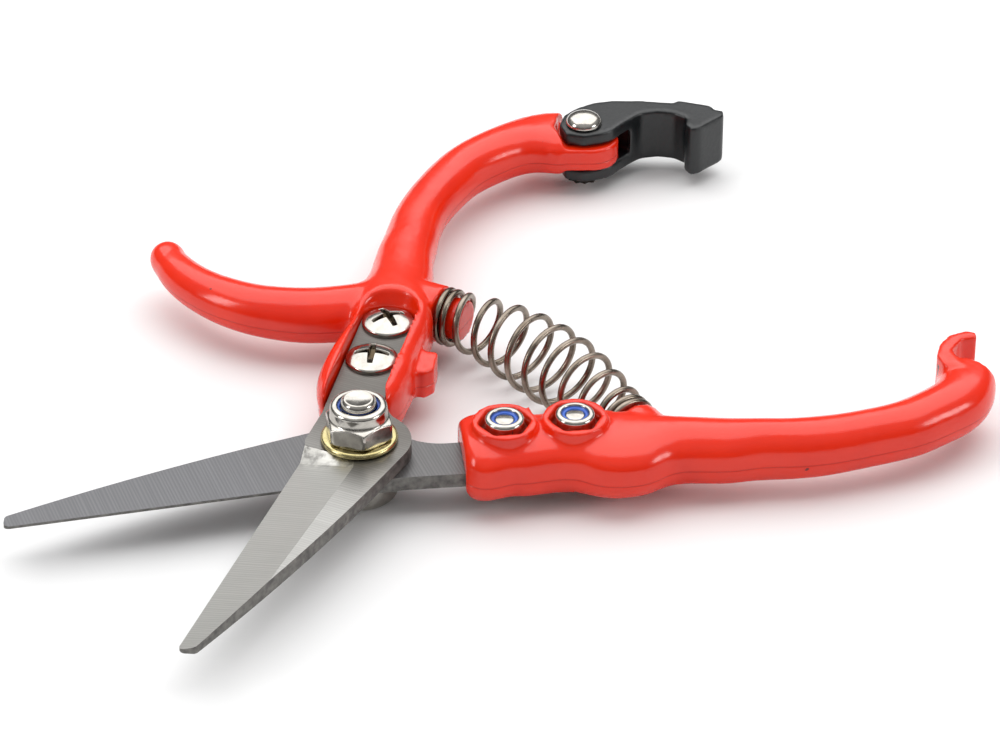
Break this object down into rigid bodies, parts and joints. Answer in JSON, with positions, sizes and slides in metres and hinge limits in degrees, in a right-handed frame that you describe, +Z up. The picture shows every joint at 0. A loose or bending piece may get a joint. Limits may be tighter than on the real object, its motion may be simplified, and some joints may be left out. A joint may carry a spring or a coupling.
{
  "type": "pruning shears",
  "caption": "Small pruning shears, drawn open: straight pointed blades bolted into red enamelled cast handles, a finger rest, a barrel return spring and a swinging latch.",
  "frame": {"origin": "on the pivot axis, at the underside of the pivot bolt's head, on which the shears lie", "axes": "+X between the blade tips, +Z up along the pivot axis, +Y towards the handle without a latch"},
  "size_m": [0.1704, 0.131, 0.0182],
  "materials": {
    "red_enamel": "glossy baked enamel over a casting",
    "blade_steel": "ground across the blade",
    "bright_steel": "bright nickel plate",
    "dark_steel": "blackened spring steel",
    "yellow_zinc": "yellow zinc plate on steel",
    "spring_steel": "nickel-plated drawn wire",
    "black_plastic": "satin moulded nylon",
    "blue_nylon": "blue nylon ring"
  },
  "bodies": {
    "lower_half": {"lower_handle": "red_enamel", "lower_blade": "blade_steel", "lower_screw_front": "bright_steel", "lower_nut_front": "bright_steel", "lower_nut_insert_front": "blue_nylon", "lower_screw_rear": "bright_steel", "lower_nut_rear": "bright_steel", "lower_nut_insert_rear": "blue_nylon", "pivot_bolt": "bright_steel", "pivot_washer": "yellow_zinc", "pivot_nut": "bright_steel", "pivot_nut_insert": "blue_nylon", "return_spring": "spring_steel"},
    "upper_half": {"upper_handle": "red_enamel", "upper_blade": "blade_steel", "upper_screw_front": "bright_steel", "upper_nut_front": "bright_steel", "upper_nut_insert_front": "blue_nylon", "upper_screw_rear": "bright_steel", "upper_nut_rear": "bright_steel", "upper_nut_insert_rear": "blue_nylon", "latch_rivet": "bright_steel", "latch_rivet_cap": "dark_steel"},
    "latch": {"latch": "black_plastic"}
  },
  "joints": [
    {"name": "blade_pivot", "type": "hinge", "parent": "lower_half", "child": "upper_half", "pos_m": [0, 0, 0.00762], "axis": [0, 0, -1], "range_deg": [0, 44.5], "stiffness_Nm_per_rad": 0.6, "deforming": ["return_spring"]},
    {"name": "latch_pivot", "type": "hinge", "parent": "upper_half", "child": "latch", "pos_m": [-0.09378, -0.04701, 0.00762], "axis": [0, 0, 1], "range_deg": [-31, 35]}
  ]
}
